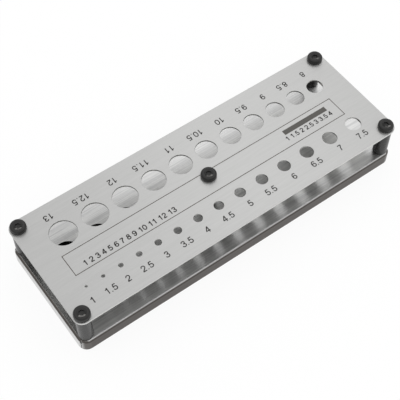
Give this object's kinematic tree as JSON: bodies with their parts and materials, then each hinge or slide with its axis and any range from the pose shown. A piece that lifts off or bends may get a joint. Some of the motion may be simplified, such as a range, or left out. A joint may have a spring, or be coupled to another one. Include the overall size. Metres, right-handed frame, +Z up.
{
  "type": "drill bit stand",
  "caption": "Two-level brushed steel stand on black posts that holds drill bits upright in two rows of holes graded by size.",
  "frame": {"origin": "middle of the stand's underside, on the surface that it stands on", "axes": "+X along the stand towards the largest hole of the front row, +Y to the back, +Z up"},
  "size_m": [0.18, 0.0618, 0.0277],
  "materials": {
    "plate_steel": "stainless sheet, brushed along its length",
    "tray_steel": "stainless sheet, finely brushed along its length, glossier than the top plate",
    "pad_rubber": "matt black sheet rubber",
    "post_black": "turned, anodised black, semi-gloss",
    "screw_black": "blackened steel, satin"
  },
  "bodies": {
    "root": {"top_plate": "plate_steel", "base_tray": "tray_steel", "base_pad": "pad_rubber", "post_front_left": "post_black", "post_front_right": "post_black", "post_rear_left": "post_black", "post_rear_right": "post_black", "post_centre": "post_black", "top_screw_front_left": "screw_black", "top_screw_front_right": "screw_black", "top_screw_rear_left": "screw_black", "top_screw_rear_right": "screw_black", "top_screw_centre": "screw_black", "base_screw_front_left": "screw_black", "base_screw_front_right": "screw_black", "base_screw_rear_left": "screw_black", "base_screw_rear_right": "screw_black", "base_screw_centre": "screw_black"}
  },
  "joints": []
}
